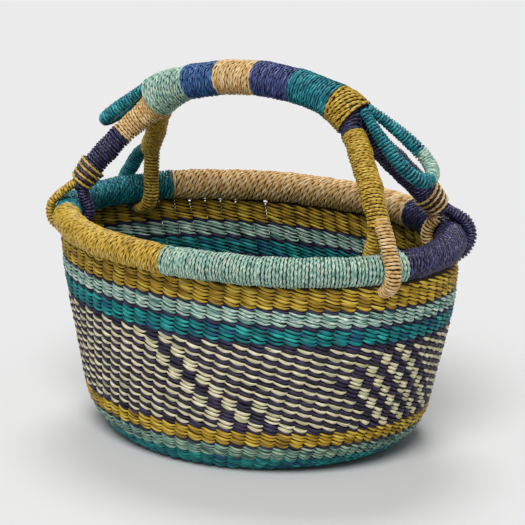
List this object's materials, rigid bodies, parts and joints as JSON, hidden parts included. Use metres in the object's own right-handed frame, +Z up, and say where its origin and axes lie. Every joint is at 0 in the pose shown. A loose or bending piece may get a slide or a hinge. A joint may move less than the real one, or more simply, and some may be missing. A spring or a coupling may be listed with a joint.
{
  "type": "market basket",
  "caption": "Oval twined straw basket with a thick wound rim and a fixed arched handle whose legs fork into loops round the rim.",
  "frame": {"origin": "on the floor, under the middle of the oval rim", "axes": "+X along the handle span and the long way of the oval, +Y across the oval to the side seen last in the picture, +Z up"},
  "size_m": [0.3784, 0.2825, 0.3211],
  "materials": {
    "teal_straw": "twisted straw, matte with a slight sheen",
    "mint_straw": "twisted straw, matte with a slight sheen",
    "navy_straw": "twisted straw, matte with a slight sheen",
    "olive_straw": "twisted straw, matte with a slight sheen",
    "pattern_straw": "twisted straw, matte with a slight sheen",
    "tan_straw": "twisted straw, matte with a slight sheen",
    "grass_bundle": "matte bare grass stems",
    "blue_straw": "twisted straw, matte with a slight sheen"
  },
  "bodies": {
    "root": {"base_disc": "teal_straw", "weft_teal_lower": "teal_straw", "weft_mint_lower": "mint_straw", "weft_navy_row_1": "navy_straw", "weft_olive_lower": "olive_straw", "weft_navy_row_2": "navy_straw", "weft_pattern_band": "pattern_straw", "weft_navy_row_3": "navy_straw", "weft_teal_upper": "teal_straw", "weft_navy_row_4": "navy_straw", "weft_mint_upper": "mint_straw", "weft_navy_row_5": "navy_straw", "rim_wrap_olive": "olive_straw", "rim_wrap_mint": "mint_straw", "rim_wrap_mint_end": "mint_straw", "rim_wrap_navy": "navy_straw", "rim_wrap_tan": "tan_straw", "rim_wrap_teal": "teal_straw", "rim_core": "grass_bundle", "grip_wrap_mint": "mint_straw", "grip_wrap_blue": "blue_straw", "grip_wrap_tan": "tan_straw", "grip_wrap_navy": "navy_straw", "grip_wrap_teal": "teal_straw", "grip_wrap_olive": "olive_straw", "leg_wrap_front_left_tan": "tan_straw", "leg_wrap_front_left_navy": "navy_straw", "leg_cuff_front_right_navy": "navy_straw", "leg_wrap_front_right_olive": "olive_straw", "leg_wrap_back_left_olive": "olive_straw", "leg_wrap_back_right_navy": "navy_straw", "handle_core_front": "grass_bundle", "handle_core_back": "grass_bundle", "loop_front_left_outer": "olive_straw", "loop_front_left_inner": "navy_straw", "loop_back_left_outer": "teal_straw", "loop_back_left_inner": "olive_straw", "loop_front_right_outer": "tan_straw", "loop_front_right_inner": "olive_straw", "loop_back_right_outer": "navy_straw", "loop_back_right_inner": "tan_straw", "weft_olive_upper": "olive_straw", "ear_left": "teal_straw", "ear_right_front": "teal_straw", "ear_right_mint": "mint_straw", "ear_right_back": "teal_straw", "binding_front_left": "olive_straw", "binding_back_right": "tan_straw"}
  },
  "joints": []
}
